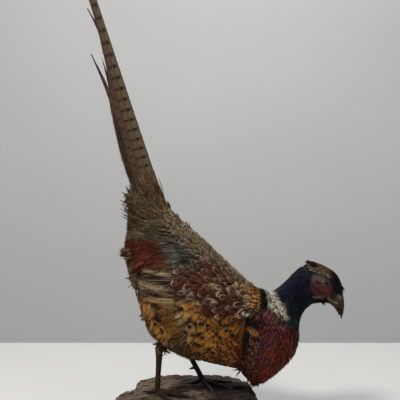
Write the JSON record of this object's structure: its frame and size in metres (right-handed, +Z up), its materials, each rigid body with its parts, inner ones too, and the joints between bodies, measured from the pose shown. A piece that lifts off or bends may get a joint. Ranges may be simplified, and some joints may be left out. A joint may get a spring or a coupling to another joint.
{
  "type": "taxidermy pheasant",
  "caption": "Mounted cock ring-necked pheasant, life-size, head bent down and long barred tail raised, standing on a slab of weathered wood.",
  "frame": {"origin": "middle of the wooden slab's flat underside, on the surface it stands on", "axes": "+X the way the bird faces, +Y its left side, +Z up"},
  "size_m": [0.3818, 0.1851, 0.6979],
  "materials": {
    "body_feathers": "soft vaned feathers, satin",
    "neck_feathers": "dark iridescent feathers",
    "face_skin": "dry wrinkled skin, painted red",
    "wing_feathers": "soft vaned feathers, satin",
    "tail_feathers": "long barred vanes, satin",
    "bill_horn": "worn horn, semi-gloss",
    "leg_scales": "dry scaly skin",
    "claw_horn": "dark horn, satin",
    "eye_glass": "polished glass eye",
    "weathered_wood": "rough weathered driftwood"
  },
  "bodies": {
    "root": {"base_slab": "weathered_wood", "trunk": "body_feathers", "neck": "neck_feathers", "head": "face_skin", "bill_upper": "bill_horn", "bill_lower": "bill_horn", "eye_left": "eye_glass", "ear_tuft_left": "neck_feathers", "wing_left": "wing_feathers", "thigh_left": "body_feathers", "leg_left": "leg_scales", "spur_left": "claw_horn", "claw_left_inner": "claw_horn", "claw_left_middle": "claw_horn", "claw_left_outer": "claw_horn", "claw_left_hind": "claw_horn", "tail_feather_left_1": "tail_feathers", "tail_feather_left_2": "tail_feathers", "tail_feather_left_3": "tail_feathers", "tail_feather_left_4": "tail_feathers", "tail_feather_left_5": "tail_feathers", "eye_right": "eye_glass", "ear_tuft_right": "neck_feathers", "wing_right": "wing_feathers", "thigh_right": "body_feathers", "leg_right": "leg_scales", "spur_right": "claw_horn", "claw_right_inner": "claw_horn", "claw_right_middle": "claw_horn", "claw_right_outer": "claw_horn", "claw_right_hind": "claw_horn", "tail_feather_right_1": "tail_feathers", "tail_feather_right_2": "tail_feathers", "tail_feather_right_3": "tail_feathers", "tail_feather_right_4": "tail_feathers", "tail_feather_right_5": "tail_feathers"}
  },
  "joints": []
}
